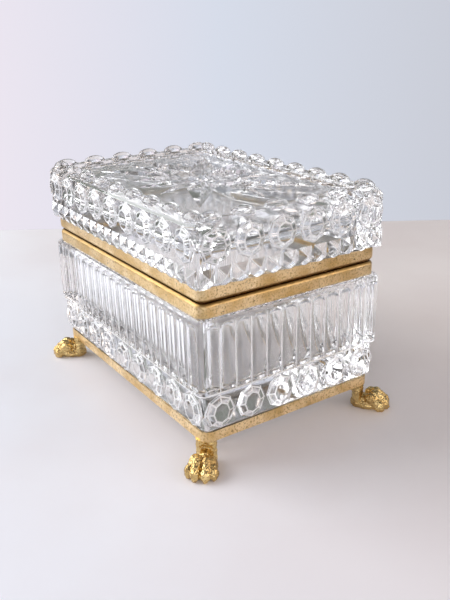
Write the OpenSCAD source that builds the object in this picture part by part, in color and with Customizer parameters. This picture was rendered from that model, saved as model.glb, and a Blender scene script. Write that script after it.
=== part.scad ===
// Jewelry box of cut crystal in gilt-brass mounts: a deep crystal trough and a heavy
// crystal lid, each cemented into a brass collar, joined by two hinges along the back
// and standing on a brass base rail with four cast paw feet.
// The origin is on the table under the middle of the box. X runs along the long sides,
// -Y is the front and +Y is the hinged back.

/* [Crystal body] */
// Length of the crystal body
body_l = 153; // [125:1:220]
// Width of the crystal body
body_w = 102; // [84:1:160]
// Height of the cut wall between the base rail and the lower collar
body_h = 54; // [44:1:90]
// Height of the band of bosses round the foot of the wall
boss_band_h = 19.3; // [16:0.1:24]
// Nominal width of one boss; each side takes a whole number of them
cell_pitch = 17; // [14:0.5:24]
// Thickness of the crystal wall
wall_t = 8.5; // [7.5:0.5:12]
// Thickness of the crystal floor above the base rail's upper edge
floor_t = 14; // [8:1:20]
// Radius of the rounded foot and corners of the hollow
well_r = 12; // [6:1:14]
// Depth of the upright flutes
flute_depth = 1.2; // [0.6:0.1:1.8]

/* [Crystal lid] */
// Height of the lid's crystal above its collar
lid_h = 30; // [27:1:45]
// How far the lid's crystal stands out beyond the collars on each side
lid_overhang = 3.5; // [2.5:0.1:5]
// Height of the band of small squares round the lid's foot
square_band_h = 9.3; // [6:0.1:12]
// Thickness of the crystal above the lid's hollow
roof_t = 11; // [9:0.5:14]

/* [Collars] */
// Height of the lower collar
body_collar_h = 6.3; // [5.5:0.1:10]
// Height of the upper collar
lid_collar_h = 6.5; // [5.5:0.1:10]
// How far the collars stand in from the face of the crystal body
collar_inset = 1.9; // [1.7:0.1:3]
// Thickness of the collar sheet
collar_t = 1; // [0.8:0.1:1.2]
// Corner radius of the mounts, seen from above
corner_r = 4.5; // [4:0.1:6]
// Radius of the rolled edges that face each other at the seam
roll_r = 2; // [1.6:0.1:2.2]
// Gap between the closed collars
seam_gap = 0.4; // [0.2:0.1:0.8]
// Layer of cement between the crystal's neck and the collar's wall
cement_t = 0.8; // [0.5:0.1:1]

/* [Base rail] */
// Height of the base rail
rail_h = 4.8; // [4:0.1:8]
// How far the rail stands in from the face of the crystal body
rail_inset = 2.2; // [1.8:0.1:3]
// Thickness of the rail's upright band
rail_t = 1.2; // [1:0.1:1.6]
// Thickness of the ledge that carries the crystal
ledge_t = 1.5; // [1.2:0.1:2]
// Width of the ledge, measured from the rail's outer face
ledge_w = 9; // [9:0.5:14]

/* [Feet] */
// Height of the feet
foot_h = 13; // [12:0.5:20]
// Reach of the paw from the screw to the tips of the toes
foot_reach = 19; // [17:0.5:24]
// Radius of the leg under the rail
leg_r = 5; // [4.5:0.1:5.5]
// Distance from the screw to the rail's outer faces
screw_inset = 6.2; // [6:0.1:7]
// Radius of the screw's shank
screw_r = 1.5; // [1:0.1:1.8]

/* [Hinges] */
// Radius of the hinge barrel
barrel_r = 2; // [1.6:0.1:2.2]
// Radius of the hinge pin
pin_r = 0.8; // [0.6:0.1:1]
// Length of one knuckle
knuckle_l = 7; // [5:0.5:10]
// Distance of each hinge from the middle of the back
hinge_offset = 45; // [25:1:50]
// Distance of the hinge axis in from the collars' back faces
axis_inset = 1.05; // [0.9:0.05:1.2]

/* [Hidden] */
$fn = 64;

// Levels above the table
z_rail = foot_h + rail_h;
z_flutes = z_rail + boss_band_h;
z_shoulder = z_rail + body_h;
z_collar = z_shoulder + body_collar_h;
z_axis = z_collar + seam_gap/2;
z_lid_collar = z_collar + seam_gap;
z_lid = z_lid_collar + lid_collar_h;
z_squares = z_lid + square_band_h;
z_top = z_lid + lid_h;

// Plan sizes of the mounts
collar_l = body_l - 2*collar_inset;
collar_w = body_w - 2*collar_inset;
rail_l = body_l - 2*rail_inset;
rail_w = body_w - 2*rail_inset;
lid_l = collar_l + 2*lid_overhang;
lid_w = collar_w + 2*lid_overhang;
lid_corner_r = corner_r + 0.5;

// The crystal's neck stands inside the collar with the cement round and above it
neck_l = collar_l - 2*collar_t - 2*cement_t;
neck_w = collar_w - 2*collar_t - 2*cement_t;
neck_corner_r = corner_r - collar_t - cement_t;
neck_gap = 2*cement_t;
z_neck = z_collar - collar_t - neck_gap;
z_lid_neck = z_lid_collar + collar_t + neck_gap;

// The hollow of the body, and the lip of the collars inside its mouth
well_l = body_l - 2*wall_t;
well_w = body_w - 2*wall_t;
lip = 0.4;
lid_rim_h = 2;
z_floor = z_rail + floor_t;
z_roof = z_top - lid_rim_h - roof_t;

// Cutting of the body: bosses stand up to the crystal's full size
boss_rise = 1.2;
boss_sphere_r = 14;
lens_root = 0.5;
arris_inset = 0.2;
cells_l = max(3, round(body_l/cell_pitch));
cells_w = max(3, round(body_w/cell_pitch));
flute_w = body_l/cells_l/2;
flute_half_chord = flute_w/2 - 0.25;
flute_r = (pow(flute_half_chord, 2) + pow(flute_depth, 2))/(2*flute_depth);
shoulder_r = collar_inset - arris_inset;
flute_top_gap = 1.5;
foot_chamfer = 1.5;

// Cutting of the lid
lid_boss_rise = 1;
lid_bevel = 3.5;
lid_boss_sphere_r = 11;
rim_boss_r = 7;
rim_boss_inset = 9;
panel_depth = 1;
panel_inset = 16;
star_bar = 4;
star_tilt = 4;

// The crystal's foot stands inside the rail, on a bed of cement on the ledge
base_cement_t = 0.5;
foot_clearance = 0.2;
seat_l = rail_l - 2*rail_t - 2*foot_clearance;
seat_w = rail_w - 2*rail_t - 2*foot_clearance;
seat_corner_r = corner_r - rail_t - foot_clearance;
z_ledge = foot_h + ledge_t;
z_seat = z_ledge + base_cement_t;
window_l = rail_l - 2*ledge_w;
window_w = rail_w - 2*ledge_w;
window_r = 4;

// Hinges
y_axis = collar_w/2 - axis_inset;
knuckle_gap = 0.2;
pocket_clearance = 0.35;
pocket_r = barrel_r + pocket_clearance;
running_clearance = 0.05;
hinge_l = 3*knuckle_l + 2*knuckle_gap;
saddle_h = 1.4;

// Feet and screws
screw_hole_r = screw_r + 0.1;
screw_head_r = screw_r + ledge_t - 0.3;
screw_depth = 3.2;
bore_depth = screw_depth + 0.2;
foot_x = rail_l/2 - screw_inset;
foot_y = rail_w/2 - screw_inset;
leg_cap_h = 2.6;
leg_taper = 0.5;
ankle_r = 4.4;
ankle_reach = 6.4;
ankle_z = 6;
heel_reach = 0.6;
heel_r = 3.9;
heel_h = 4.2;
instep_r = 5.4;
instep_z = 3.4;
instep_setback = 5.2;
toe_r = 2.3;
toe_flat = 0.2;
toe_pitch = 3.6;
toe_setback = 2.2;
toe_joint = 1.7;
toe_climb = 1.5;
toe_swell = 0.12;
OVERCUT = 1;
FAR = 20;

// A flat-ended block with rounded upright corners, standing on Z = 0.
module rounded_prism(l, w, h, r) {
    linear_extrude(h) {
        square([l - 2*r, w], center = true);
        square([l, w - 2*r], center = true);
        for (sx = [-1, 1], sy = [-1, 1])
            translate([sx*(l/2 - r), sy*(w/2 - r)])
                circle(r = r);
    }
}

// The child outline swept round a rounded rectangle. X = 0 in the outline lies on the
// rectangle, negative X is inwards and no more than r, and Y is height.
module swept_ring(l, w, r) {
    for (turn = [0, 180])
        rotate([0, 0, turn]) {
            translate([l/2, 0, 0])
                rotate([90, 0, 0])
                    linear_extrude(w - 2*r, center = true)
                        children();
            rotate([0, 0, 90])
                translate([w/2, 0, 0])
                    rotate([90, 0, 0])
                        linear_extrude(l - 2*r, center = true)
                            children();
            translate([l/2 - r, w/2 - r, 0])
                rotate_extrude(angle = 90)
                    translate([r, 0])
                        children();
            translate([-l/2 + r, w/2 - r, 0])
                rotate([0, 0, 90])
                    rotate_extrude(angle = 90)
                        translate([r, 0])
                            children();
        }
}

// The children once in every cell round the four sides of a rectangle. In the children
// Y = 0 is the face and -Y points out of the box.
module around_sides(l, w, n_l, n_w) {
    for (turn = [0, 180])
        rotate([0, 0, turn])
            for (i = [0 : n_l - 1])
                translate([(i + 0.5 - n_l/2)*l/n_l, -w/2, 0])
                    children();
    for (turn = [90, 270])
        rotate([0, 0, turn])
            for (i = [0 : n_w - 1])
                translate([(i + 0.5 - n_w/2)*w/n_w, -l/2, 0])
                    children();
}

// A block with rounded upright corners and a rounded lower edge: the shape of the hollow.
module well_block(l, w, h, r) {
    for (sx = [-1, 1], sy = [-1, 1])
        translate([sx*(l/2 - r), sy*(w/2 - r), r]) {
            sphere(r = r);
            cylinder(r = r, h = h - r);
        }
    for (sy = [-1, 1])
        translate([0, sy*(w/2 - r), r])
            rotate([0, 90, 0])
                cylinder(r = r, h = l - 2*r, center = true);
    for (sx = [-1, 1])
        translate([sx*(l/2 - r), 0, r])
            rotate([90, 0, 0])
                cylinder(r = r, h = w - 2*r, center = true);
    translate([-l/2 + r, -w/2 + r, 0])
        cube([l - 2*r, w - 2*r, h]);
    translate([-l/2, -w/2 + r, r])
        cube([l, w - 2*r, h - r]);
    translate([-l/2 + r, -w/2, r])
        cube([l - 2*r, w, h - r]);
}

// A cap of a sphere, let into a wall that lies rise behind its crown.
module lens(sphere_r, rise) {
    intersection() {
        translate([0, sphere_r, 0])
            sphere(r = sphere_r);
        translate([-sphere_r, 0, -sphere_r])
            cube([2*sphere_r, rise + lens_root, 2*sphere_r]);
    }
}

// Outline of the body's wall: bevelled foot, boss band, flute band and round shoulder.
module body_outline() {
    polygon([
        [-corner_r, z_rail],
        [-boss_rise - foot_chamfer, z_rail],
        [-boss_rise, z_rail + foot_chamfer],
        [-boss_rise, z_flutes],
        [-arris_inset, z_flutes],
        [-arris_inset, z_shoulder - shoulder_r],
        [-corner_r, z_shoulder - shoulder_r]
    ]);
    translate([-arris_inset - shoulder_r, z_shoulder - shoulder_r])
        intersection() {
            circle(r = shoulder_r);
            square(shoulder_r);
        }
    translate([-corner_r, z_shoulder - shoulder_r])
        square([corner_r - arris_inset - shoulder_r, shoulder_r]);
}

// One upright flute with an arched top.
module flute() {
    dome_z = z_shoulder - shoulder_r - flute_top_gap - flute_half_chord;
    translate([0, flute_depth - flute_r + arris_inset, 0]) {
        translate([0, 0, z_flutes])
            cylinder(r = flute_r, h = dome_z - z_flutes);
        translate([0, 0, dome_z])
            sphere(r = flute_r);
    }
}

module crystal_body() {
    color("aliceblue")
        difference() {
            union() {
                swept_ring(body_l, body_w, corner_r)
                    body_outline();
                translate([0, 0, z_rail])
                    linear_extrude(body_h)
                        square([body_l - 2*corner_r, body_w - 2*corner_r], center = true);
                translate([0, 0, z_rail + boss_band_h/2])
                    around_sides(body_l, body_w, cells_l, cells_w)
                        lens(boss_sphere_r, boss_rise);
                translate([0, 0, z_seat])
                    rounded_prism(seat_l, seat_w, z_rail - z_seat, seat_corner_r);
                translate([0, 0, z_shoulder])
                    rounded_prism(neck_l, neck_w, z_neck - z_shoulder, neck_corner_r);
            }
            around_sides(body_l, body_w, 2*cells_l, 2*cells_w)
                flute();
            translate([0, 0, z_floor])
                well_block(well_l, well_w, z_neck - z_floor + OVERCUT, well_r);
        }
}

// Outline of the lid's wall: band of squares, band of bosses and bevelled top edge.
module lid_outline() {
    polygon([
        [-lid_corner_r, z_lid],
        [-lid_boss_rise - foot_chamfer, z_lid],
        [-lid_boss_rise, z_lid + foot_chamfer],
        [-lid_boss_rise, z_top - lid_rim_h - lid_bevel],
        [-lid_boss_rise - lid_bevel, z_top - lid_rim_h],
        [-lid_corner_r, z_top - lid_rim_h]
    ]);
}

// One long cut of the star, deepest beside the star's middle.
module star_cut(reach) {
    translate([0, 0, z_top - lid_rim_h - panel_depth])
        rotate([0, -star_tilt, 0])
            rotate([45, 0, 0])
                translate([0, -star_bar/2, -star_bar/2])
                    cube([reach, star_bar, star_bar]);
}

module crystal_lid() {
    boss_z = (z_squares + z_top - lid_rim_h - lid_bevel)/2;
    panel_l = lid_l - 2*panel_inset;
    panel_w = lid_w - 2*panel_inset;
    diagonal = atan2(panel_w, panel_l);
    color("aliceblue")
        difference() {
            union() {
                swept_ring(lid_l, lid_w, lid_corner_r)
                    lid_outline();
                translate([0, 0, z_lid])
                    linear_extrude(lid_h - lid_rim_h)
                        square([lid_l - 2*lid_corner_r, lid_w - 2*lid_corner_r], center = true);
                translate([0, 0, boss_z])
                    around_sides(lid_l, lid_w, cells_l, cells_w)
                        lens(lid_boss_sphere_r, lid_boss_rise);
                translate([0, 0, z_top - rim_boss_r])
                    around_sides(lid_l, lid_w, cells_l, cells_w)
                        translate([0, rim_boss_inset, 0])
                            sphere(r = rim_boss_r);
                translate([0, 0, z_lid_neck])
                    rounded_prism(neck_l, neck_w, z_lid - z_lid_neck, neck_corner_r);
            }
            translate([0, 0, z_top - lid_rim_h - panel_depth])
                rounded_prism(panel_l, panel_w, lid_rim_h + 2*panel_depth, corner_r);
            for (bearing = [0, 90, 180, 270])
                rotate([0, 0, bearing])
                    star_cut(panel_w/2);
            for (bearing = [diagonal, 180 - diagonal, 180 + diagonal, -diagonal])
                rotate([0, 0, bearing])
                    star_cut(panel_l/2);
            mirror([0, 0, 1])
                translate([0, 0, -z_roof])
                    well_block(well_l, well_w, z_roof - z_lid_neck + OVERCUT, well_r);
        }
}

// Outline of a collar's wall and rolled edge, with the wall's foot at Y = 0.
module collar_outline(h) {
    translate([-collar_t, 0])
        square([collar_t, h - roll_r]);
    translate([-roll_r, h - roll_r])
        intersection() {
            difference() {
                circle(r = roll_r);
                circle(r = roll_r - collar_t);
            }
            square(roll_r);
        }
}

// A collar with its wall's foot at Z = 0 and its flange on top.
module collar_shell(h) {
    swept_ring(collar_l, collar_w, corner_r)
        collar_outline(h);
    translate([0, 0, h - collar_t])
        difference() {
            rounded_prism(collar_l - 2*roll_r, collar_w - 2*roll_r, collar_t, corner_r - roll_r);
            translate([0, 0, -OVERCUT])
                rounded_prism(well_l - 2*lip, well_w - 2*lip, collar_t + 2*OVERCUT, well_r - lip);
        }
}

// The cement inside a collar, in the same place as collar_shell.
module cement_shell(h) {
    bed_r = roll_r - collar_t;
    difference() {
        union() {
            swept_ring(collar_l - 2*collar_t, collar_w - 2*collar_t, corner_r - collar_t) {
                translate([-bed_r, 0])
                    square([bed_r, h - roll_r]);
                translate([-bed_r, h - roll_r])
                    intersection() {
                        circle(r = bed_r);
                        square(bed_r);
                    }
            }
            rounded_prism(collar_l - 2*roll_r, collar_w - 2*roll_r, h - collar_t, corner_r - roll_r);
        }
        translate([0, 0, -OVERCUT])
            rounded_prism(neck_l, neck_w, h - collar_t - neck_gap + OVERCUT, neck_corner_r);
        translate([0, 0, -OVERCUT])
            rounded_prism(well_l, well_w, h + OVERCUT, well_r);
    }
}

// The slots in the back of a collar and its cement that leave room for the barrels.
module hinge_pockets() {
    for (side = [-1, 1])
        translate([side*hinge_offset - hinge_l/2 - knuckle_gap, y_axis - pocket_r, z_axis - pocket_r])
            cube([hinge_l + 2*knuckle_gap, FAR, 2*pocket_r]);
}

module body_collar() {
    color("goldenrod")
        difference() {
            translate([0, 0, z_shoulder])
                collar_shell(body_collar_h);
            hinge_pockets();
        }
}

module lid_collar() {
    color("goldenrod")
        difference() {
            translate([0, 0, z_lid])
                mirror([0, 0, 1])
                    collar_shell(lid_collar_h);
            hinge_pockets();
        }
}

module body_cement() {
    color("antiquewhite")
        difference() {
            translate([0, 0, z_shoulder])
                cement_shell(body_collar_h);
            hinge_pockets();
        }
}

module lid_cement() {
    color("antiquewhite")
        difference() {
            translate([0, 0, z_lid])
                mirror([0, 0, 1])
                    cement_shell(lid_collar_h);
            hinge_pockets();
        }
}

// The screw that holds a foot, with its countersunk head flush in the ledge.
module foot_screw(shank_r, depth) {
    translate([0, 0, foot_h - depth])
        cylinder(r = shank_r, h = depth + ledge_t);
    translate([0, 0, z_ledge - screw_head_r + screw_r])
        cylinder(r1 = screw_r, r2 = screw_head_r, h = screw_head_r - screw_r);
}

// The children at the four corners, turned so that +X points out along the diagonal.
module at_corner(sx, sy) {
    translate([sx*foot_x, sy*foot_y, 0])
        rotate([0, 0, atan2(sy, sx)])
            children();
}

module base_rail() {
    color("goldenrod")
        difference() {
            translate([0, 0, foot_h])
                rounded_prism(rail_l, rail_w, rail_h, corner_r);
            translate([0, 0, z_ledge])
                rounded_prism(rail_l - 2*rail_t, rail_w - 2*rail_t, rail_h, corner_r - rail_t);
            translate([0, 0, foot_h - OVERCUT])
                rounded_prism(window_l, window_w, ledge_t + 2*OVERCUT, window_r);
            for (sx = [-1, 1], sy = [-1, 1])
                at_corner(sx, sy) {
                    foot_screw(screw_hole_r, OVERCUT);
                    translate([0, 0, z_ledge])
                        cylinder(r = screw_head_r, h = OVERCUT);
                }
        }
}

module base_cement() {
    color("antiquewhite")
        translate([0, 0, z_ledge])
            difference() {
                rounded_prism(seat_l, seat_w, base_cement_t, seat_corner_r);
                translate([0, 0, -OVERCUT])
                    rounded_prism(window_l, window_w, base_cement_t + 2*OVERCUT, window_r);
            }
}

// A toe of three joints, from its raised knuckle down to its flat-footed tip.
module toe(reach) {
    for (joint = [0 : 2])
        translate([reach - toe_r - joint*toe_joint, 0, toe_r - toe_flat + joint*toe_climb])
            sphere(r = toe_r + joint*toe_swell);
}

// A cast paw foot: leg, ankle, instep and four toes, bored from above for its screw.
module paw_foot() {
    instep_reach = foot_reach - toe_r - instep_setback;
    lean = atan2(ankle_reach, foot_h - ankle_z);
    difference() {
        union() {
            translate([0, 0, foot_h - leg_cap_h])
                cylinder(r = leg_r, h = leg_cap_h);
            translate([ankle_reach, 0, ankle_z])
                rotate([0, -lean, 0])
                    cylinder(r1 = ankle_r, r2 = leg_r - leg_taper, h = foot_h);
            translate([ankle_reach, 0, ankle_z])
                sphere(r = ankle_r);
            translate([ankle_reach + heel_reach, 0, 0])
                cylinder(r = heel_r, h = heel_h);
            translate([instep_reach, 0, instep_z])
                sphere(r = instep_r);
            for (side = [-1, 1]) {
                translate([0, side*toe_pitch/2, 0])
                    toe(foot_reach);
                translate([0, side*1.5*toe_pitch, 0])
                    toe(foot_reach - toe_setback);
            }
        }
        translate([0, 0, foot_h - bore_depth])
            cylinder(r = screw_r, h = bore_depth + OVERCUT);
        translate([-FAR, -FAR, foot_h])
            cube(2*FAR);
        translate([-FAR, -FAR, -2*FAR])
            cube(2*FAR);
    }
}

module foot(sx, sy) {
    color("darkgoldenrod")
        at_corner(sx, sy)
            paw_foot();
}

module foot_front_left() {
    foot(-1, -1);
}

module foot_front_right() {
    foot(1, -1);
}

module foot_back_left() {
    foot(-1, 1);
}

module foot_back_right() {
    foot(1, 1);
}

module foot_screws() {
    color("darkkhaki")
        for (sx = [-1, 1], sy = [-1, 1])
            at_corner(sx, sy)
                foot_screw(screw_r, screw_depth);
}

// One knuckle of a hinge, with a saddle below it that is brazed to its collar.
module knuckle(middle_x, bore_r) {
    difference() {
        union() {
            translate([middle_x - knuckle_l/2, y_axis, z_axis])
                rotate([0, 90, 0])
                    cylinder(r = barrel_r, h = knuckle_l);
            translate([middle_x - knuckle_l/2, y_axis - pocket_r, z_axis - pocket_r])
                cube([knuckle_l, pocket_r + axis_inset, saddle_h]);
        }
        translate([middle_x - knuckle_l/2 - OVERCUT, y_axis, z_axis])
            rotate([0, 90, 0])
                cylinder(r = bore_r, h = knuckle_l + 2*OVERCUT);
    }
}

module body_knuckles(side) {
    color("goldenrod")
        for (end = [-1, 1])
            knuckle(side*hinge_offset + end*(knuckle_l + knuckle_gap), pin_r);
}

module lid_knuckle(side) {
    color("goldenrod")
        translate([0, 0, 2*z_axis])
            mirror([0, 0, 1])
                knuckle(side*hinge_offset, pin_r + running_clearance);
}

module hinge_pin(side) {
    color("darkkhaki")
        translate([side*hinge_offset - hinge_l/2, y_axis, z_axis])
            rotate([0, 90, 0])
                cylinder(r = pin_r, h = hinge_l);
}

module hinge_left_body_knuckles() {
    body_knuckles(-1);
}

module hinge_left_lid_knuckle() {
    lid_knuckle(-1);
}

module hinge_left_pin() {
    hinge_pin(-1);
}

module hinge_right_body_knuckles() {
    body_knuckles(1);
}

module hinge_right_lid_knuckle() {
    lid_knuckle(1);
}

module hinge_right_pin() {
    hinge_pin(1);
}

crystal_body();
crystal_lid();
body_collar();
lid_collar();
base_rail();
body_cement();
lid_cement();
base_cement();
hinge_left_body_knuckles();
hinge_left_lid_knuckle();
hinge_left_pin();
hinge_right_body_knuckles();
hinge_right_lid_knuckle();
hinge_right_pin();
foot_front_left();
foot_front_right();
foot_back_left();
foot_back_right();
foot_screws();
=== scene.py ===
# A hinged table casket: a trough and a lid of clear cut crystal, cemented into gilt-brass
# collars, standing in a gilt-brass rail on four cast paw feet. Metres; the front is -Y.
import math

import bpy
from mathutils import Matrix, Vector


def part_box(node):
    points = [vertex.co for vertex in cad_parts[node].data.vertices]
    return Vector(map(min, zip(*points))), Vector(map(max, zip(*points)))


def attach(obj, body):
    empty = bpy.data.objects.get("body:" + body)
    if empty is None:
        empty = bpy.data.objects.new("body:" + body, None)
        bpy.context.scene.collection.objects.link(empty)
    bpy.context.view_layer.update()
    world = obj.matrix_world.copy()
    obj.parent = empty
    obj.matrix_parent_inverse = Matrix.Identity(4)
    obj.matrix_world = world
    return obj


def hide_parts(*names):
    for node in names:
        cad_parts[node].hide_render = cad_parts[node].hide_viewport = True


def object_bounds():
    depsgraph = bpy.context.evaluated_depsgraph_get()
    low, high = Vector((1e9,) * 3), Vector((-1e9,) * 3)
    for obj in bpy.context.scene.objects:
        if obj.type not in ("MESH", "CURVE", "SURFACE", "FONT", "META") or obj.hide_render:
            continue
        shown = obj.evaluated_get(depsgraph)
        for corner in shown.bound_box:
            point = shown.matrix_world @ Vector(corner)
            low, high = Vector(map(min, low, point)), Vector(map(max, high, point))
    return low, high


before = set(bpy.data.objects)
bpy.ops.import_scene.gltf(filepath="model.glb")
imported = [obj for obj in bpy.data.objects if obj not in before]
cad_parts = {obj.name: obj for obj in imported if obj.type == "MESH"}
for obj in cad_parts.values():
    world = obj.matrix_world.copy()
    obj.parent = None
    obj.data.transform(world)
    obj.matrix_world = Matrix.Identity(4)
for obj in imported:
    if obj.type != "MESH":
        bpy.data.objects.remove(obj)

cad_low, cad_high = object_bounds()


# ---- Base rail ----------------------------------------------------------------------------
# The low brass rail under the crystal: a band with a ledge inside that carries the trough.
# Sheet brass, gilt; the gilding is satin, rubbed thin in places and full of fine pits.
WARM_GILT = (0.68, 0.46, 0.19, 1)
PALE_GILT = (0.95, 0.74, 0.44, 1)
FRECKLE = (0.50, 0.33, 0.13, 1)
# the darkest tone colours the real pits and is also the painted shadow in the seam; the shaded
# tone after it is painted shade on rolled edges
PIT_DIRT_AND_SEAM_SHADE = (0.07, 0.035, 0.010, 1)
SHADED_GILT = (0.36, 0.23, 0.085, 1)
FOLD_ANGLE = math.radians(28)
LEVEL = 0.995  # a face lies level where the upright part of its normal reaches this
NEARLY_LEVEL = 0.985


def new_finish(name):
    """An empty node material, with its nodes, its links and its shader."""
    finish = bpy.data.materials.new(name)
    finish.use_nodes = True
    nodes = finish.node_tree.nodes
    return finish, nodes, finish.node_tree.links, nodes["Principled BSDF"]


def spread_of(nodes, links, value, low, high):
    """A value spread so that it runs from 0 at low to 1 at high."""
    spread = nodes.new("ShaderNodeMapRange")
    spread.inputs["From Min"].default_value = low
    spread.inputs["From Max"].default_value = high
    links.new(value, spread.inputs["Value"])
    return spread.outputs["Result"]


def speckle(nodes, links, scale, low, high, detail=3.0, stretch=(1, 1, 1)):
    """Noise fixed to the piece, spread so that it runs from 0 at low to 1 at high."""
    place = nodes.new("ShaderNodeTexCoord")
    grain = nodes.new("ShaderNodeMapping")
    grain.inputs["Scale"].default_value = stretch
    pattern = nodes.new("ShaderNodeTexNoise")
    pattern.inputs["Scale"].default_value = scale
    pattern.inputs["Detail"].default_value = detail
    links.new(place.outputs["Object"], grain.inputs["Vector"])
    links.new(grain.outputs["Vector"], pattern.inputs["Vector"])
    return spread_of(nodes, links, pattern.outputs["Fac"], low, high)


def blend_of(nodes, links, share, first, second):
    """A colour between two others, each a colour or an output, at that share."""
    mix = nodes.new("ShaderNodeMix")
    mix.data_type = "RGBA"
    links.new(share, mix.inputs[0])
    for socket, value in ((mix.inputs[6], first), (mix.inputs[7], second)):
        if isinstance(value, tuple):
            socket.default_value = value
        else:
            links.new(value, socket)
    return mix.outputs[2]


def range_of(nodes, links, share, low, high):
    """A number between low and high, at that share."""
    spread = nodes.new("ShaderNodeMapRange")
    spread.inputs["To Min"].default_value = low
    spread.inputs["To Max"].default_value = high
    links.new(share, spread.inputs["Value"])
    return spread.outputs["Result"]


def emboss(nodes, links, shader, height, distance, strength=1.0):
    """Lets a height pattern tilt the light on the surface."""
    bump = nodes.new("ShaderNodeBump")
    bump.inputs["Distance"].default_value = distance
    bump.inputs["Strength"].default_value = strength
    links.new(height, bump.inputs["Height"])
    links.new(bump.outputs["Normal"], shader.inputs["Normal"])


def painted_shade_share(nodes, links, low, high):
    """How far a face is turned up or down, from 0 at low to 1 at high, but 0 where it lies
    level or nearly so: the share of painted shade on a rolled edge."""
    place = nodes.new("ShaderNodeTexCoord")
    split = nodes.new("ShaderNodeSeparateXYZ")
    links.new(place.outputs["Normal"], split.inputs["Vector"])
    tilt = nodes.new("ShaderNodeMath")
    tilt.operation = "ABSOLUTE"
    links.new(split.outputs["Z"], tilt.inputs[0])
    turned = spread_of(nodes, links, tilt.outputs["Value"], low, high)
    curved = spread_of(nodes, links, tilt.outputs["Value"], LEVEL, NEARLY_LEVEL)
    share = nodes.new("ShaderNodeMath")
    share.operation = "MULTIPLY"
    links.new(turned, share.inputs[0])
    links.new(curved, share.inputs[1])
    return share.outputs["Value"]


def gilding(name, deep, pale, gloss, rubbed, pit_scale, painted_shade=False):
    """Gilt metal: two tones of gold in clouds, freckles and pits, and a gloss that wanders.
    With painted shade, its rolled edges are painted darker where they turn, and near black where
    they turn furthest, as painted shadow in the seam."""
    finish, nodes, links, shader = new_finish(name)
    clouds = speckle(nodes, links, 90, 0.36, 0.62, detail=6.0)
    tone = blend_of(nodes, links, clouds, deep, pale)
    freckles = speckle(nodes, links, pit_scale, 0.50, 0.66, detail=3.0)
    tone = blend_of(nodes, links, freckles, tone, FRECKLE)
    pits = speckle(nodes, links, pit_scale * 0.7, 0.67, 0.75, detail=2.0)
    tone = blend_of(nodes, links, pits, tone, PIT_DIRT_AND_SEAM_SHADE)
    if painted_shade:
        # painted shade on the turned part of the rolled edges, and painted shadow, near black,
        # where they turn furthest into the seam
        tone = blend_of(nodes, links, painted_shade_share(nodes, links, 0.10, 0.55), tone, SHADED_GILT)
        tone = blend_of(nodes, links, painted_shade_share(nodes, links, 0.84, 0.97), tone, PIT_DIRT_AND_SEAM_SHADE)
    links.new(tone, shader.inputs["Base Color"])
    smears = speckle(nodes, links, 160, 0.3, 0.7, stretch=(1, 1, 3))
    links.new(range_of(nodes, links, smears, gloss, rubbed), shader.inputs["Roughness"])
    shader.inputs["Metallic"].default_value = 1.0
    grain = speckle(nodes, links, pit_scale * 0.8, 0.35, 0.75, detail=4.0)
    emboss(nodes, links, shader, grain, 0.0001, 0.8)
    return finish


def deselect():
    """Leaves nothing selected, so that the next operator acts on its own piece only."""
    bpy.ops.object.select_all(action="DESELECT")


def pick(piece):
    """Selects one piece alone and makes it active."""
    deselect()
    piece.select_set(True)
    bpy.context.view_layer.objects.active = piece
    return piece


def settle(piece, name):
    """Names a piece and leaves it at the origin, unturned, with its place in its mesh."""
    pick(piece)
    piece.name = name
    piece.data.name = name
    bpy.ops.object.transform_apply(location=True, rotation=True, scale=True)
    return piece


def smooth_copy(node, name):
    """The shape of a CAD node, joined up and shaded round, standing for that node."""
    piece = bpy.data.objects.new(name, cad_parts[node].data.copy())
    bpy.context.scene.collection.objects.link(piece)
    pick(piece)
    bpy.ops.object.mode_set(mode="EDIT")
    bpy.ops.mesh.select_all(action="SELECT")
    bpy.ops.mesh.remove_doubles(threshold=0.000002)
    bpy.ops.object.mode_set(mode="OBJECT")
    bpy.ops.object.shade_smooth_by_angle(angle=FOLD_ANGLE)
    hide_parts(node)
    return piece


def mount(piece, body):
    """Gives a piece the body that it rides on."""
    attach(piece, body)


def finish_piece(piece, finish, body):
    """Gives a piece its material, its body and its slot."""
    piece.data.materials.clear()
    piece.data.materials.append(finish)
    mount(piece, body)


# the gilt brass carries painted shade and painted seam shadow on its rolled edges
gilt_brass = gilding("gilt_brass", WARM_GILT, PALE_GILT, 0.26, 0.44, 1100, painted_shade=True)
rail = smooth_copy("base_rail", "rail")
finish_piece(rail, gilt_brass, "casket")


# ---- Paw feet -----------------------------------------------------------------------------
# Four sand-cast lion paws: a leg, a high instep and four toes, each with a knuckle, a pad
# and a claw. The fur is chased in as stipple. Each is held by a screw through the ledge.
CAST_DEEP = (0.48, 0.32, 0.12, 1)
CAST_PALE = (0.88, 0.68, 0.31, 1)
SCREW_HEAD_R = 0.0027
LUG_SHIFT = (-0.0003, 0.0005)  # how far outside its screw the lug of each paw stands
screws_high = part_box("foot_screws")[1]
foot_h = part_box("foot_front_right")[1].z
foot_x = round(screws_high.x - SCREW_HEAD_R, 4) + LUG_SHIFT[0]
foot_y = round(screws_high.y - SCREW_HEAD_R, 4) + LUG_SHIFT[1]
TOES = (  # distance out, sideways, knuckle height, turn outwards in degrees
    (0.0166, 0.0023, 0.0067, 4),
    (0.0166, -0.0023, 0.0067, -4),
    (0.0142, 0.0052, 0.0056, 20),
    (0.0142, -0.0052, 0.0056, -20),
)


def egg(place, size, lean=0.0, turn=0.0):
    """A rounded lump of metal, leaned forward and turned about the upright."""
    bpy.ops.mesh.primitive_uv_sphere_add(
        segments=32, ring_count=20, radius=1, location=place, scale=size,
        rotation=(0, math.radians(lean), math.radians(turn)),
    )
    return bpy.context.object


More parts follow.
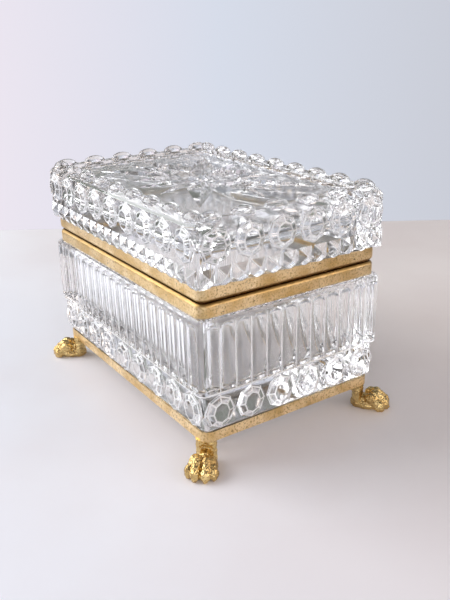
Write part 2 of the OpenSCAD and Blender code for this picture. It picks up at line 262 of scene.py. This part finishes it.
def join(parts):
    """Joins several objects into the first."""
    deselect()
    for part in parts:
        part.select_set(True)
    bpy.context.view_layer.objects.active = parts[0]
    bpy.ops.object.join()
    return parts[0]


def combine(piece, operand, how):
    """Joins a closed shape to a piece, cuts it away or keeps only what lies inside it."""
    pick(piece)
    step = piece.modifiers.new("combine", "BOOLEAN")
    step.operation = how
    step.solver = "MANIFOLD"
    step.object = operand
    bpy.ops.object.modifier_apply(modifier="combine")
    bpy.data.objects.remove(operand)


def model_paw():
    """One paw at the origin with its toes towards +X, from the table up to the rail."""
    bpy.ops.mesh.primitive_cone_add(
        vertices=48, radius1=0.0047, radius2=0.0048, depth=0.012, location=(0.0034, 0, 0.0085),
        scale=(0.57, 1.0, 1.0),
    )
    lumps = [bpy.context.object]
    bpy.ops.mesh.primitive_cone_add(
        vertices=32, radius1=0.0024, radius2=0.0027, depth=0.006, location=(0, 0, 0.0120)
    )
    lumps.append(bpy.context.object)
    lumps.append(egg((0.0076, 0, 0.0030), (0.0050, 0.0042, 0.0034), lean=20))
    lumps.append(egg((0.0090, 0, 0.0020), (0.0086, 0.0060, 0.0032)))
    lumps.append(egg((0.0040, 0, 0.0022), (0.0040, 0.0044, 0.0032)))
    for out, side, height, turn in TOES:
        way = Vector((math.cos(math.radians(turn)), math.sin(math.radians(turn)), 0))
        root = Vector((out, side, 0))
        lumps.append(egg(root - way * 0.0042 + Vector((0, 0, height)),
                         (0.0032, 0.0024, 0.0029), lean=16, turn=turn))
        lumps.append(egg(root - way * 0.0018 + Vector((0, 0, height * 0.70)),
                         (0.0034, 0.0021, 0.0028), lean=40, turn=turn))
        lumps.append(egg(root + Vector((0, 0, 0.0028)), (0.0028, 0.0025, 0.0031), turn=turn))
        lumps.append(egg(root + way * 0.0014 + Vector((0, 0, 0.0014)),
                         (0.0016, 0.0012, 0.0017), turn=turn))
    paw = settle(join(lumps), "paw")
    fuse = paw.modifiers.new("fuse", "REMESH")
    fuse.mode = "VOXEL"
    fuse.voxel_size = 0.00026
    bpy.ops.object.modifier_apply(modifier="fuse")
    soften = paw.modifiers.new("soften", "SMOOTH")
    soften.factor = 0.5
    soften.iterations = 2
    bpy.ops.object.modifier_apply(modifier="soften")
    fur = bpy.data.textures.new("fur", "CLOUDS")
    fur.noise_scale = 0.0010
    fur.noise_depth = 2
    chase = paw.modifiers.new("chase", "DISPLACE")
    chase.texture = fur
    chase.strength = 0.0008
    chase.mid_level = 0.5
    bpy.ops.object.modifier_apply(modifier="chase")
    bpy.ops.mesh.primitive_cube_add(size=1, location=(0, 0, foot_h / 2), scale=(0.1, 0.1, foot_h))
    combine(paw, settle(bpy.context.object, "flat"), "INTERSECT")
    bpy.ops.object.shade_smooth_by_angle(angle=math.radians(60))
    return paw


cast_gilt = gilding("cast_gilt", CAST_DEEP, CAST_PALE, 0.16, 0.32, 1300)
paw = model_paw()
for end, side in (("front_left", (-1, -1)), ("front_right", (1, -1)),
                  ("back_left", (-1, 1)), ("back_right", (1, 1))):
    foot = paw.copy()
    foot.data = paw.data.copy()
    bpy.context.scene.collection.objects.link(foot)
    foot.rotation_euler = (0, 0, math.atan2(side[1], side[0]))
    foot.location = (side[0] * foot_x, side[1] * foot_y, 0)
    settle(foot, "paw_" + end)
    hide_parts("foot_" + end)
    finish_piece(foot, cast_gilt, "casket")
bpy.data.objects.remove(paw)


# ---- Foot screws --------------------------------------------------------------------------
# Four countersunk brass screws, down through the ledge into the feet. Turned bright brass,
# so faint rings of the tool show in their gloss.
TURNED_BRASS = (0.72, 0.52, 0.24, 1)
TURNED_PALE = (0.86, 0.68, 0.38, 1)
plain_brass = gilding("plain_brass", TURNED_BRASS, TURNED_PALE, 0.16, 0.3, 2600)


def refinish(node, finish):
    """Gives a CAD node that keeps its shape its material."""
    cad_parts[node].data.materials.clear()
    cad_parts[node].data.materials.append(finish)


refinish("foot_screws", plain_brass)


# ---- Base cement --------------------------------------------------------------------------
# The thin bed of white plaster between the ledge and the crystal's foot. It is dry and dull,
# with small pores.
PLASTER = (0.80, 0.76, 0.68, 1)
PLASTER_SHADE = (0.66, 0.61, 0.52, 1)


def plaster():
    """Dry plaster: two off-whites in clouds, and a porous surface."""
    finish, nodes, links, shader = new_finish("cement")
    clouds = speckle(nodes, links, 120, 0.35, 0.65)
    links.new(blend_of(nodes, links, clouds, PLASTER, PLASTER_SHADE), shader.inputs["Base Color"])
    pores = speckle(nodes, links, 1500, 0.4, 0.7)
    links.new(range_of(nodes, links, pores, 0.75, 0.95), shader.inputs["Roughness"])
    emboss(nodes, links, shader, pores, 0.00008)
    return finish


cement = plaster()
refinish("base_cement", cement)


# ---- Crystal trough -----------------------------------------------------------------------
# The trough is one heavy piece of lead crystal, pressed in a mould and then cut and polished:
# a band of faceted bosses, upright flutes between thin arrises, a rounded shoulder and a
# plain neck that goes up into the collar. It is hollow, with well-rounded inner corners.
FACET_ANGLE = math.radians(10.5)  # only the round cuts are shaded round, the flats stay flat
SKIN = 0.00006  # air between the crystal and what it is bedded in
trough_low, trough_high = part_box("crystal_body")
rail_top_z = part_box("base_rail")[1].z
trough_l = trough_high.x - trough_low.x
trough_w = trough_high.y - trough_low.y
shoulder_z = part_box("body_collar")[0].z
shoulder_round = 0.0022
seat_z = trough_low.z + SKIN
neck_top_z = trough_high.z - SKIN
face_foot_z = rail_top_z + 0.0003
ridge_z = 0.0371
band_recess = 0.0013
band_slope_h = 0.0012
outer_corner = 0.0035
foot_bevel = 0.0018
neck_inset = 0.0038  # the seat at the foot stands in as far as the neck
hollow_l = 0.136
hollow_w = 0.085
hollow_corner = 0.012
hollow_round = 0.005
hollow_floor_z = 0.0318
long_cells = 9
short_cells = 6
boss_w_share = 0.965
boss_sink = 0.0015  # how far a boss is let into the wall behind it
band_arris = 0.00034  # width to which the edges between flats are worn
BAND_RINGS = ((0.0007, 0.86, 0.88), (0.0010, 0.60, 0.66))
flute_w = 0.0078
flute_depth = 0.0015
arris_radius = 0.00042
arris_proud = 0.00012


def pick_by(piece, mode, wanted):
    """Opens a piece in edit mode with those vertices, edges or faces selected that pass the
    wanted test, which is given their middle and, for a face, its normal."""
    pick(piece)
    bpy.ops.object.mode_set(mode="EDIT")
    bpy.ops.mesh.select_mode(type=mode)
    bpy.ops.mesh.select_all(action="DESELECT")
    bpy.ops.object.mode_set(mode="OBJECT")
    mesh = piece.data
    if mode == "FACE":
        for face in mesh.polygons:
            face.select = wanted(face.center, face.normal)
    elif mode == "EDGE":
        for edge in mesh.edges:
            ends = [mesh.vertices[i].co for i in edge.vertices]
            edge.select = wanted((ends[0] + ends[1]) / 2, (ends[1] - ends[0]).normalized())
    else:
        for corner in mesh.vertices:
            corner.select = wanted(corner.co, None)
    bpy.ops.object.mode_set(mode="EDIT")


def done():
    """Leaves edit mode."""
    bpy.ops.object.mode_set(mode="OBJECT")


def rounded_block(size, middle, corner, steps):
    """A block with its four upright edges rounded."""
    bpy.ops.mesh.primitive_cube_add(size=1, location=middle, scale=size)
    block = settle(bpy.context.object, "block")
    pick_by(block, "EDGE", lambda at, way: abs(way.z) > 0.9)
    bpy.ops.mesh.bevel(offset=corner, segments=steps, affect="EDGES")
    done()
    return block


def round_rim(block, height, radius, steps):
    """Rounds or bevels the outline of a block's end face at that height."""
    pick_by(block, "FACE", lambda at, way: abs(at.z - height) < 1e-5 and abs(way.z) > 0.9)
    bpy.ops.mesh.region_to_loop()
    bpy.ops.mesh.bevel(offset=radius, segments=steps, affect="EDGES", clamp_overlap=True)
    done()


def end_face(block, up):
    """Selects the end face that lies furthest up or down, in edit mode."""
    levels = [v.co.z for v in block.data.vertices]
    level = max(levels) if up else min(levels)
    pick_by(block, "FACE", lambda at, way: abs(at.z - level) < 1e-6 and abs(way.z) > 0.9)
    return level


def draw_out(block, up, stages):
    """Draws an end face out in stages, each with the length, width and height it ends at."""
    level = end_face(block, up)
    rim = [v.co for v in block.data.vertices if abs(v.co.z - level) < 1e-6]
    length = 2 * max(corner.x for corner in rim)
    width = 2 * max(corner.y for corner in rim)
    for new_length, new_width, new_z in stages:
        bpy.ops.mesh.extrude_region_move(TRANSFORM_OT_translate={"value": (0, 0, new_z - level)})
        bpy.ops.transform.resize(value=(new_length / length, new_width / width, 1),
                                 center_override=(0, 0, new_z))
        length, width, level = new_length, new_width, new_z
    done()


def hollow_block(length, width, low_z, high_z, round_z):
    """The closed shape of a hollow: rounded corners and a rounded end at round_z."""
    middle = (0, 0, (low_z + high_z) / 2)
    block = rounded_block((length, width, high_z - low_z), middle, hollow_corner, 12)
    round_rim(block, round_z, hollow_round, 12)
    return block


def row_of(feature, spans, reaches, counts, height, shift=0.0):
    """Copies of a feature in a row along each of the four sides, joined into one shape.
    The feature stands at the origin with its face to -Y."""
    copies = []
    for turn in range(4):
        span = spans[turn % 2]
        count = counts[turn % 2]
        reach = reaches[turn % 2]
        for number in range(count):
            along = (number + 0.5 + shift - count / 2) * span / count
            if abs(along) > span / 2 - 0.003:
                continue
            copy = feature.copy()
            copy.data = feature.data.copy()
            bpy.context.scene.collection.objects.link(copy)
            copy.matrix_world = (
                Matrix.Rotation(turn * math.pi / 2, 4, "Z")
                @ Matrix.Translation((along, -reach, height))
                @ feature.matrix_world
            )
            copies.append(copy)
    return settle(join(copies), "row")


def dress(piece, index=0):
    """Gives a piece the three crystal finishes, and all its faces the one at that index."""
    for finish in CRYSTAL_FINISHES:
        piece.data.materials.append(finish)
    for face in piece.data.polygons:
        face.material_index = index


def facet_boss(width, height, rings, arris_w):
    """A faceted boss facing -Y: eight flats in rings round a flat centre. Each ring is its
    rise and the share of the outline's width and height that is left above it."""
    bpy.ops.mesh.primitive_cylinder_add(
        vertices=8, radius=0.5, depth=boss_sink, location=(0, 0, -boss_sink / 2),
        scale=(width, height, 1),
    )
    boss = settle(bpy.context.object, "boss")
    dress(boss)
    level = 0.0
    for rise, wide, tall in rings:
        pick_by(boss, "FACE", lambda at, way: way.z > 0.9 and abs(at.z - level) < 1e-6)
        bpy.ops.mesh.extrude_region_move(TRANSFORM_OT_translate={"value": (0, 0, rise)})
        bpy.ops.transform.resize(value=(wide, tall, 1), center_override=(0, 0, level))
        done()
        level += rise
    pick_by(boss, "EDGE", lambda at, way: at.z > -0.0001)
    # the worn edges get the arris finish, whose whiteness is a painted highlight
    bpy.ops.mesh.bevel(offset=arris_w, segments=1, affect="EDGES", material=2)
    done()
    boss.rotation_euler = (math.pi / 2, 0, 0)
    return settle(boss, "boss")


def wedge(length, width, depth, lean=0.0):
    """A pointed cutter that lies along X, with its edge turned down. It is deepest and
    widest at its middle, or off the middle by the share lean of half its length."""
    bpy.ops.mesh.primitive_uv_sphere_add(segments=4, ring_count=2, radius=1)
    cutter = bpy.context.object
    cutter.scale = (length / 2, width / 2, depth)
    settle(cutter, "wedge")
    pick_by(cutter, "VERT", lambda at, way: abs(at.x) < length / 4)
    bpy.ops.transform.translate(value=(lean * length / 2, 0, 0))
    done()
    return cutter


def upright_rod(radius, middle_y, arch, low_z, high_z, steps):
    """A round-ended upright rod. Where it meets the face at y = 0 it runs from low_z to
    high_z, and arch is how much of that each round end takes up."""
    bpy.ops.mesh.primitive_uv_sphere_add(
        segments=steps, ring_count=steps // 2, radius=radius, location=(0, middle_y, 0)
    )
    rod = settle(bpy.context.object, "rod")
    stretch = (high_z - low_z) / 2 - arch
    for end in (-1, 1):
        pick_by(rod, "VERT", lambda at, way: at.z * end > radius * 0.02)
        bpy.ops.transform.translate(value=(0, 0, end * stretch))
        done()
    rod.location = (0, 0, (low_z + high_z) / 2)
    return settle(rod, "rod")


def lead_crystal(name, gloss, dull, ripple_depth, clearness=1.0):
    """Clear lead crystal: the faintest cool tint and the slight ripple of a pressed face."""
    finish, nodes, links, shader = new_finish(name)
    clouds = speckle(nodes, links, 30, 0.3, 0.7)
    tint = blend_of(nodes, links, clouds, (1.0, 1.0, 1.0, 1), (0.985, 0.992, 1.0, 1))
    links.new(tint, shader.inputs["Base Color"])
    wipes = speckle(nodes, links, 200, 0.45, 0.8)
    links.new(range_of(nodes, links, wipes, gloss, dull), shader.inputs["Roughness"])
    shader.inputs["Transmission Weight"].default_value = clearness
    shader.inputs["IOR"].default_value = 1.545
    ripple = speckle(nodes, links, 90, 0.2, 0.8, detail=2.0)
    emboss(nodes, links, shader, ripple, ripple_depth, 0.25)
    return finish


def line_hollow(piece, length, width, low_z, high_z):
    """Gives the moulded faces of a hollow, which lie inside those bounds, their own finish."""
    edge = 0.0001
    for face in piece.data.polygons:
        at = face.center
        inside = abs(at.x) < length / 2 + edge and abs(at.y) < width / 2 + edge
        if inside and low_z - edge < at.z < high_z + edge:
            face.material_index = 1


crystal = lead_crystal("crystal", 0.0, 0.02, 0.00006)
moulded_crystal = lead_crystal("moulded_crystal", 0.08, 0.13, 0.0001)
# the arris finish is a little rough and only partly clear, so the worn edges read white: a
# painted highlight along them
worn_arris_and_highlight = lead_crystal("worn_arris_and_highlight", 0.15, 0.3, 0.0001, clearness=0.4)
CRYSTAL_FINISHES = (crystal, moulded_crystal, worn_arris_and_highlight)
trough = rounded_block(
    (trough_l, trough_w, shoulder_z - face_foot_z), (0, 0, (shoulder_z + face_foot_z) / 2),
    outer_corner, 4,
)
dress(trough)
round_rim(trough, shoulder_z, shoulder_round, 4)
round_rim(trough, face_foot_z, foot_bevel, 1)
neck = (trough_l - 2 * neck_inset, trough_w - 2 * neck_inset)
draw_out(trough, True, ((*neck, shoulder_z), (*neck, neck_top_z)))
draw_out(trough, False, ((*neck, face_foot_z), (*neck, seat_z)))

# the band of bosses lies a little behind the fluted wall, under a narrow ridge
pick(trough)
for level in (ridge_z - band_slope_h, ridge_z):
    bpy.ops.object.mode_set(mode="EDIT")
    bpy.ops.mesh.select_all(action="SELECT")
    bpy.ops.mesh.bisect(plane_co=(0, 0, level), plane_no=(0, 0, 1))
    bpy.ops.object.mode_set(mode="OBJECT")
pick_by(trough, "VERT",
        lambda at, way: rail_top_z < at.z < ridge_z - band_slope_h / 2)
bpy.ops.transform.resize(
    value=(1 - 2 * band_recess / trough_l, 1 - 2 * band_recess / trough_w, 1),
    center_override=(0, 0, ridge_z),
)
done()

spans = (trough_l - outer_corner, trough_w - outer_corner)
wall_reach = (trough_w / 2, trough_l / 2)
band_reach = (trough_w / 2 - band_recess, trough_l / 2 - band_recess)
cells = (long_cells, short_cells)
cell_w = spans[0] / long_cells
band_mid_z = (face_foot_z + ridge_z) / 2 - 0.0001
boss_h = ridge_z - face_foot_z - 0.0022
boss = facet_boss(cell_w * boss_w_share, boss_h, BAND_RINGS, band_arris)
combine(trough, row_of(boss, spans, band_reach, cells, band_mid_z), "UNION")
bpy.data.objects.remove(boss)

flute_top_z = shoulder_z - 0.0024
flute_spans = (trough_l - 0.003, trough_w - 0.003)
flute_counts = (2 * long_cells, 2 * short_cells)
flute_radius = flute_w ** 2 / (8 * flute_depth) + flute_depth / 2
flute = upright_rod(flute_radius, flute_depth - flute_radius, flute_w / 2,
                    ridge_z + 0.0004, flute_top_z, 56)
combine(trough, row_of(flute, flute_spans, wall_reach, flute_counts, 0), "DIFFERENCE")
bpy.data.objects.remove(flute)

# the arrises between the flutes are worn round, and so is the ridge below them
arris = upright_rod(arris_radius, arris_radius - arris_proud, arris_radius,
                    ridge_z, flute_top_z - 0.0006, 36)
# the arrises and the ridge get the arris finish, partly opaque white: a painted highlight
dress(arris, 2)
combine(trough, row_of(arris, flute_spans, wall_reach, flute_counts, 0, shift=0.5), "UNION")
bpy.data.objects.remove(arris)
ridge = rounded_block(
    (trough_l + 2 * arris_proud, trough_w + 2 * arris_proud, 2 * arris_radius), (0, 0, ridge_z),
    outer_corner + arris_proud, 4,
)
for rim in (ridge_z + arris_radius, ridge_z - arris_radius):
    round_rim(ridge, rim, arris_radius * 0.96, 6)
dress(ridge, 2)
combine(trough, ridge, "UNION")

combine(trough, hollow_block(hollow_l, hollow_w, hollow_floor_z, neck_top_z + 0.01,
                             hollow_floor_z), "DIFFERENCE")
settle(trough, "trough")
bpy.ops.object.shade_smooth_by_angle(angle=FACET_ANGLE)
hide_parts("crystal_body")
mount(trough, "casket")
line_hollow(trough, hollow_l, hollow_w, hollow_floor_z, neck_top_z - 0.0002)


# ---- Lower collar -------------------------------------------------------------------------
# A rolled brass collar round the trough's neck, bedded in plaster. Its upper edge is rolled
# over, which leaves the dark seam under the lid: partly the real gap, partly painted shade on the
# rolled edge. Gilt, pitted and rubbed like the rail.
lower_collar = smooth_copy("body_collar", "lower_collar")
finish_piece(lower_collar, gilt_brass, "casket")
refinish("body_cement", cement)


# ---- Hinges -------------------------------------------------------------------------------
# Two small three-knuckle hinges, let into the backs of the collars and brazed there. The
# knuckles are gilt with the collars; the pins are plain drawn brass.
for hand in ("left", "right"):
    for part, body in (("body_knuckles", "casket"), ("lid_knuckle", "lid")):
        knuckles = smooth_copy(f"hinge_{hand}_{part}", f"{hand}_{part}")
        finish_piece(knuckles, gilt_brass, body)
    refinish(f"hinge_{hand}_pin", plain_brass)


# ---- Upper collar -------------------------------------------------------------------------
# The lid's own collar, like the lower one upside down, with the plaster that holds the
# lid's neck in it.
upper_collar = smooth_copy("lid_collar", "upper_collar")
finish_piece(upper_collar, gilt_brass, "lid")
refinish("lid_cement", cement)


# ---- Crystal lid --------------------------------------------------------------------------
# One thick piece of cut crystal: a band of small pyramids at the foot, a row of faceted
# bosses, round bosses along the top edge and a deep many-pointed star cut in the top. Its
# neck goes down into the upper collar, and it is hollowed out below.
lid_low, lid_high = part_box("crystal_lid")
lid_l = lid_high.x - lid_low.x
lid_w = lid_high.y - lid_low.y
lid_foot_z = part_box("lid_collar")[1].z + 0.0002
lid_foot_bevel = 0.0007
pyramid_top_z = 0.0943
boss_top_z = 0.1108
rim_z = 0.1130
rim_bevel = 0.0028
panel_z = 0.1118
panel_slope_w = 0.0012
side_recess = 0.0016
lid_corner = 0.0045
rim_w = 0.0100
lid_neck_inset = 0.0055
roof_z = 0.102
lid_arris = 0.00038
LID_RINGS = ((0.0008, 0.87, 0.88), (0.0012, 0.58, 0.66))
pyramid_depth = 0.0022
pyramid_arris = 0.0002
bead_size = (0.0060, 0.0036, 0.0032)
leaf_size = (0.0150, 0.0052, 0.0013)

lid = rounded_block(
    (lid_l - 2 * side_recess, lid_w - 2 * side_recess, rim_z - lid_foot_z),
    (0, 0, (rim_z + lid_foot_z) / 2), lid_corner - side_recess, 4,
)
dress(lid)
round_rim(lid, rim_z, rim_bevel, 1)
round_rim(lid, lid_foot_z, lid_foot_bevel, 1)
lid_neck = (lid_l - 2 * lid_neck_inset, lid_w - 2 * lid_neck_inset)
draw_out(lid, False, ((*lid_neck, lid_foot_z), (*lid_neck, lid_low.z + SKIN)))

# the top inside the rim is sunk a little, with a sloping edge
panel_l = lid_l - 2 * rim_w
panel_w = lid_w - 2 * rim_w
draw_out(lid, True, (
    (panel_l, panel_w, rim_z),
    (panel_l - 2 * panel_slope_w, panel_w - 2 * panel_slope_w, panel_z),
))

lid_spans = (lid_l - lid_corner, lid_w - lid_corner)
lid_reach = (lid_w / 2 - side_recess, lid_l / 2 - side_recess)
lid_cell = lid_spans[0] / long_cells
side_boss = facet_boss(lid_cell * boss_w_share, boss_top_z - pyramid_top_z - 0.0002,
                       LID_RINGS, lid_arris)
combine(lid, row_of(side_boss, lid_spans, lid_reach, cells,
                    (pyramid_top_z + boss_top_z) / 2), "UNION")
bpy.data.objects.remove(side_boss)

# the band of pyramids at the foot, with a notch cut up between each two
small_counts = (2 * long_cells, 2 * short_cells)
pyramid_w = lid_cell * 0.49
bpy.ops.mesh.primitive_cone_add(
    vertices=4, radius1=pyramid_w / math.sqrt(2), radius2=0.0006, depth=pyramid_depth,
    rotation=(0, 0, math.pi / 4),
)
pyramid = settle(bpy.context.object, "pyramid")
pyramid.rotation_euler = (math.pi / 2, 0, 0)
pyramid.scale = (1, (pyramid_top_z - lid_foot_z - 0.0003) / pyramid_w, 1)
pyramid.location = (0, -0.0008, 0)
settle(pyramid, "pyramid")
dress(pyramid)
pick_by(pyramid, "EDGE", lambda at, way: at.y < 0)
# the pyramids' edges get the arris finish, whose whiteness is a painted highlight
bpy.ops.mesh.bevel(offset=pyramid_arris, segments=1, affect="EDGES", material=2)
done()
combine(lid, row_of(pyramid, lid_spans, lid_reach, small_counts,
                    (pyramid_top_z + lid_foot_z) / 2), "UNION")
bpy.data.objects.remove(pyramid)

notch_size = (lid_cell * 0.48, 0.0060, 0.0021)
foot_notch = wedge(*notch_size)
foot_notch.rotation_euler = (math.pi / 2, 0, 0)
settle(foot_notch, "foot_notch")
combine(lid, row_of(foot_notch, lid_spans, lid_reach, small_counts, lid_foot_z, shift=0.5),
        "DIFFERENCE")
bpy.data.objects.remove(foot_notch)

# round bosses along the top edge, one to a cell, and a row of pointed ovals inside them
bpy.ops.mesh.primitive_uv_sphere_add(
    segments=40, ring_count=24, radius=1, location=(0, 0.0046, 0), scale=bead_size
)
bead = settle(bpy.context.object, "bead")
combine(lid, row_of(bead, lid_spans, lid_reach, cells, rim_z - 0.0002), "UNION")
bpy.data.objects.remove(bead)
leaf = wedge(*leaf_size)
leaf.location = (0, 0.0108, 0)
settle(leaf, "leaf")
combine(lid, row_of(leaf, (lid_spans[0] - 0.02, lid_spans[1] - 0.02), lid_reach,
                    (long_cells - 1, short_cells - 1), rim_z), "DIFFERENCE")
bpy.data.objects.remove(leaf)

# the star: broad rays to the sides, long ones to the corners, thin ones between
RAYS = (  # angle, length, width, depth, lean
    (0, 0.062, 0.024, 0.0048, -0.35), (180, 0.062, 0.024, 0.0048, -0.35),
    (90, 0.038, 0.022, 0.0048, -0.3), (270, 0.038, 0.022, 0.0048, -0.3),
    (33, 0.066, 0.016, 0.0042, -0.3), (147, 0.066, 0.016, 0.0042, -0.3),
    (213, 0.066, 0.016, 0.0042, -0.3), (327, 0.066, 0.016, 0.0042, -0.3),
    (61, 0.042, 0.009, 0.0030, -0.2), (119, 0.042, 0.009, 0.0030, -0.2),
    (241, 0.042, 0.009, 0.0030, -0.2), (299, 0.042, 0.009, 0.0030, -0.2),
    (15, 0.058, 0.008, 0.0024, 0.0), (165, 0.058, 0.008, 0.0024, 0.0),
    (195, 0.058, 0.008, 0.0024, 0.0), (345, 0.058, 0.008, 0.0024, 0.0),
)
for angle, length, width, depth, lean in RAYS:
    ray = wedge(length, width, depth, lean)
    way = Vector((math.cos(math.radians(angle)), math.sin(math.radians(angle)), 0))
    ray.rotation_euler = (0, 0, math.radians(angle))
    ray.location = way * (length / 2 - 0.001) + Vector((0, 0, panel_z))
    combine(lid, settle(ray, "ray"), "DIFFERENCE")

combine(lid, hollow_block(hollow_l, hollow_w, lid_low.z - 0.01, roof_z, roof_z), "DIFFERENCE")
settle(lid, "lid_glass")
bpy.ops.object.shade_smooth_by_angle(angle=FACET_ANGLE)
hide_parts("crystal_lid")
mount(lid, "lid")
line_hollow(lid, hollow_l, hollow_w, lid_low.z + 0.0003, roof_z)


# ---- Table, light and camera --------------------------------------------------------------
# A pale polished table top, a pale wall that is only light, and a broad soft light from the
# left, as from a window.
AZIMUTH = math.radians(56.69)
ELEVATION = math.radians(21.35)
ROLL = math.radians(-1.34)
LENS = 43.92
CAMERA_AT = Vector((0.3092, -0.1909, 0.1878))
TABLE_REACH = 0.314
window_side = Vector((-math.cos(AZIMUTH), -math.sin(AZIMUTH), 0))
away = Vector((-math.sin(AZIMUTH), math.cos(AZIMUTH), 0))
box_middle = (cad_low + cad_high) / 2


def share_along(nodes, links, place, way):
    """How far a place lies along a way."""
    along = nodes.new("ShaderNodeVectorMath")
    along.operation = "DOT_PRODUCT"
    along.inputs[1].default_value = way
    links.new(place, along.inputs[0])
    return along.outputs["Value"]


bpy.ops.mesh.primitive_plane_add(size=2 * TABLE_REACH, rotation=(0, 0, AZIMUTH))
table_top = settle(bpy.context.object, "table_top")
stone, nodes, links, shader = new_finish("stone")
clouds = speckle(nodes, links, 9, 0.42, 0.62, detail=6.0)
place = nodes.new("ShaderNodeTexCoord")
# the table is painted cooler towards the window and warmer away from it: painted window light and
# painted warm shade, over the stone's own clouds
cool_side = share_along(nodes, links, place.outputs["Object"], window_side * 0.9 - away * 0.5)
painted_window_light = spread_of(nodes, links, cool_side, -0.16, 0.16)
cool = blend_of(nodes, links, clouds, (0.90, 0.92, 0.99, 1), (0.88, 0.88, 0.94, 1))
warm = blend_of(nodes, links, clouds, (0.91, 0.85, 0.815, 1), (0.87, 0.80, 0.765, 1))
links.new(blend_of(nodes, links, painted_window_light, warm, cool), shader.inputs["Base Color"])
shader.inputs["Roughness"].default_value = 0.42
table_top.data.materials.append(stone)


def soft_light(name, place, size, power, colour):
    """A broad area light that looks at the middle of the box."""
    lamp = bpy.data.lights.new(name, "AREA")
    lamp.shape = "RECTANGLE"
    lamp.size = size[0]
    lamp.size_y = size[1]
    lamp.energy = power
    lamp.color = colour
    holder = bpy.data.objects.new(name, lamp)
    bpy.context.scene.collection.objects.link(holder)
    holder.location = place
    holder.rotation_euler = (box_middle - place).to_track_quat("-Z", "Y").to_euler()


soft_light("window", box_middle + window_side * 0.8 + away * 0.15 + Vector((0, 0, 0.42)),
           (0.9, 0.8), 9.8, (0.96, 0.98, 1.0))
soft_light("warm_bounce", box_middle - window_side * 0.85 - away * 0.4 + Vector((0, 0, 0.35)),
           (0.8, 0.6), 3.4, (1.0, 0.85, 0.75))
for name, aside in (("left_strip", 0.26), ("right_strip", -0.30)):
    soft_light(name, box_middle - away * 1.0 + window_side * aside + Vector((0, 0, 0.30)),
               (0.10, 0.6), 0.8, (1.0, 0.99, 0.98))

# the camera sees a pale wall, and every other ray a room with dark patches in it
world = bpy.data.worlds.new("room")
bpy.context.scene.world = world
world.use_nodes = True
nodes = world.node_tree.nodes
links = world.node_tree.links
place = nodes.new("ShaderNodeTexCoord")
across = share_along(nodes, links, place.outputs["Generated"], window_side)
wall = nodes.new("ShaderNodeValToRGB")
wall.color_ramp.elements[0].color = (0.58, 0.595, 0.66, 1)
wall.color_ramp.elements[1].color = (0.88, 0.81, 0.89, 1)
centre_tone = wall.color_ramp.elements.new(0.5)
centre_tone.color = (0.68, 0.72, 0.82, 1)
links.new(spread_of(nodes, links, across, -0.36, 0.36), wall.inputs["Fac"])
patches = nodes.new("ShaderNodeTexNoise")
patches.inputs["Scale"].default_value = 1.6
patches.inputs["Detail"].default_value = 1.0
links.new(place.outputs["Generated"], patches.inputs["Vector"])
contrast = spread_of(nodes, links, patches.outputs["Fac"], 0.42, 0.56)
room = blend_of(nodes, links, contrast, (0.14, 0.135, 0.135, 1), wall.outputs["Color"])
dark_way = (away * 0.8 + window_side * 0.4 + Vector((0, 0, 0.45))).normalized()
dark_share = share_along(nodes, links, place.outputs["Generated"], dark_way)
dark_edge = spread_of(nodes, links, dark_share, 0.86, 0.93)
room = blend_of(nodes, links, dark_edge, room, (0.16, 0.18, 0.15, 1))
seen = nodes.new("ShaderNodeLightPath")
shown = blend_of(nodes, links, seen.outputs["Is Camera Ray"], room, wall.outputs["Color"])
links.new(shown, nodes["Background"].inputs["Color"])

camera = bpy.data.objects.new("camera", bpy.data.cameras.new("camera"))
bpy.context.scene.collection.objects.link(camera)
camera.matrix_world = (
    Matrix.Translation(CAMERA_AT)
    @ Matrix.Rotation(AZIMUTH, 4, "Z")
    @ Matrix.Rotation(math.pi / 2 - ELEVATION, 4, "X")
    @ Matrix.Rotation(ROLL, 4, "Z")
)
camera.data.lens = LENS
camera.data.clip_start = 0.01
bpy.context.scene.camera = camera
bpy.context.scene.view_settings.view_transform = "Standard"
bpy.context.scene.cycles.max_bounces = 24
bpy.context.scene.cycles.transmission_bounces = 24
bpy.context.scene.cycles.glossy_bounces = 12
